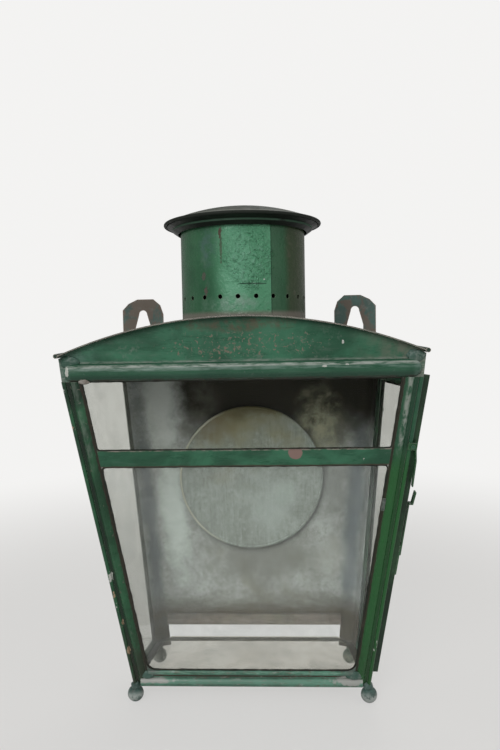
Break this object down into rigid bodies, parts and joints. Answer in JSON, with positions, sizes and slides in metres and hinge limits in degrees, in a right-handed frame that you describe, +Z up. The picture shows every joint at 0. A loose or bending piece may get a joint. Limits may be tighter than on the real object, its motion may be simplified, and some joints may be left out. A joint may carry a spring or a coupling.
{
  "type": "wall-hung oil lamp case",
  "caption": "Wall-hung tin lamp case with leaning glazed front, barrel roof, pierced chimney, round reflector, hinged side door and hanging lugs.",
  "frame": {"origin": "centre of the bounding box, at the undersides of the ball feet", "axes": "+Z up, +Y towards the wall, the glazed front faces -Y, +X to the viewer's right, on the door's side"},
  "size_m": [0.3824, 0.21, 0.5855],
  "materials": {
    "green_paint": "worn semi-gloss paint",
    "roof_paint": "worn matt paint",
    "tin": "dull tarnished tin",
    "bare_iron": "dull, rusted in places",
    "glass": "clear, slightly hazy"
  },
  "bodies": {
    "case": {"front_post_left": "green_paint", "front_post_right": "green_paint", "top_rail": "green_paint", "front_gable": "green_paint", "glazing_bar": "green_paint", "bottom_rail": "green_paint", "roof_sheet": "roof_paint", "eave_bead_left": "roof_paint", "eave_bead_right": "roof_paint", "chimney_collar": "roof_paint", "chimney_tube": "green_paint", "inner_flue": "bare_iron", "cap_skirt": "roof_paint", "cap_straps": "bare_iron", "cap_dome": "roof_paint", "back_plate": "tin", "reflector": "tin", "reflector_studs": "tin", "lug_left": "bare_iron", "lug_right": "bare_iron", "lug_rivets": "bare_iron", "back_sill": "tin", "side_rail_left": "green_paint", "side_rail_right": "green_paint", "base_rail_left": "green_paint", "base_rail_right": "green_paint", "base_ledge": "bare_iron", "glass_upper": "glass", "glass_lower": "glass", "glass_left": "glass", "glass_bottom": "glass", "glazing_clips": "bare_iron", "foot_front_left": "bare_iron", "foot_front_right": "bare_iron", "foot_back_left": "bare_iron", "foot_back_right": "bare_iron", "hinge_frame_leaves": "green_paint", "hinge_pins": "bare_iron", "catch_keeper": "green_paint", "keeper_rivet": "bare_iron"},
    "door": {"door_stile_front": "green_paint", "door_stile_back": "green_paint", "door_rail_top": "green_paint", "door_rail_bottom": "green_paint", "door_glass": "glass", "hinge_door_leaves": "green_paint", "hinge_rivets": "bare_iron", "catch_plate": "green_paint", "catch_rivets": "bare_iron"},
    "catch": {"catch_spring": "green_paint"}
  },
  "joints": [
    {"name": "door_swing", "type": "hinge", "parent": "case", "child": "door", "pos_m": [0.15481, 0.07956, 0.21958], "axis": [0.0854, 0, 0.9963], "range_deg": [0, 85]},
    {"name": "catch_flex", "type": "hinge", "parent": "door", "child": "catch", "pos_m": [0.17001, -0.04085, 0.19326], "axis": [-0.0887, 0.9647, 0.2478], "range_deg": [0, 8], "stiffness_Nm_per_rad": 0.5}
  ]
}
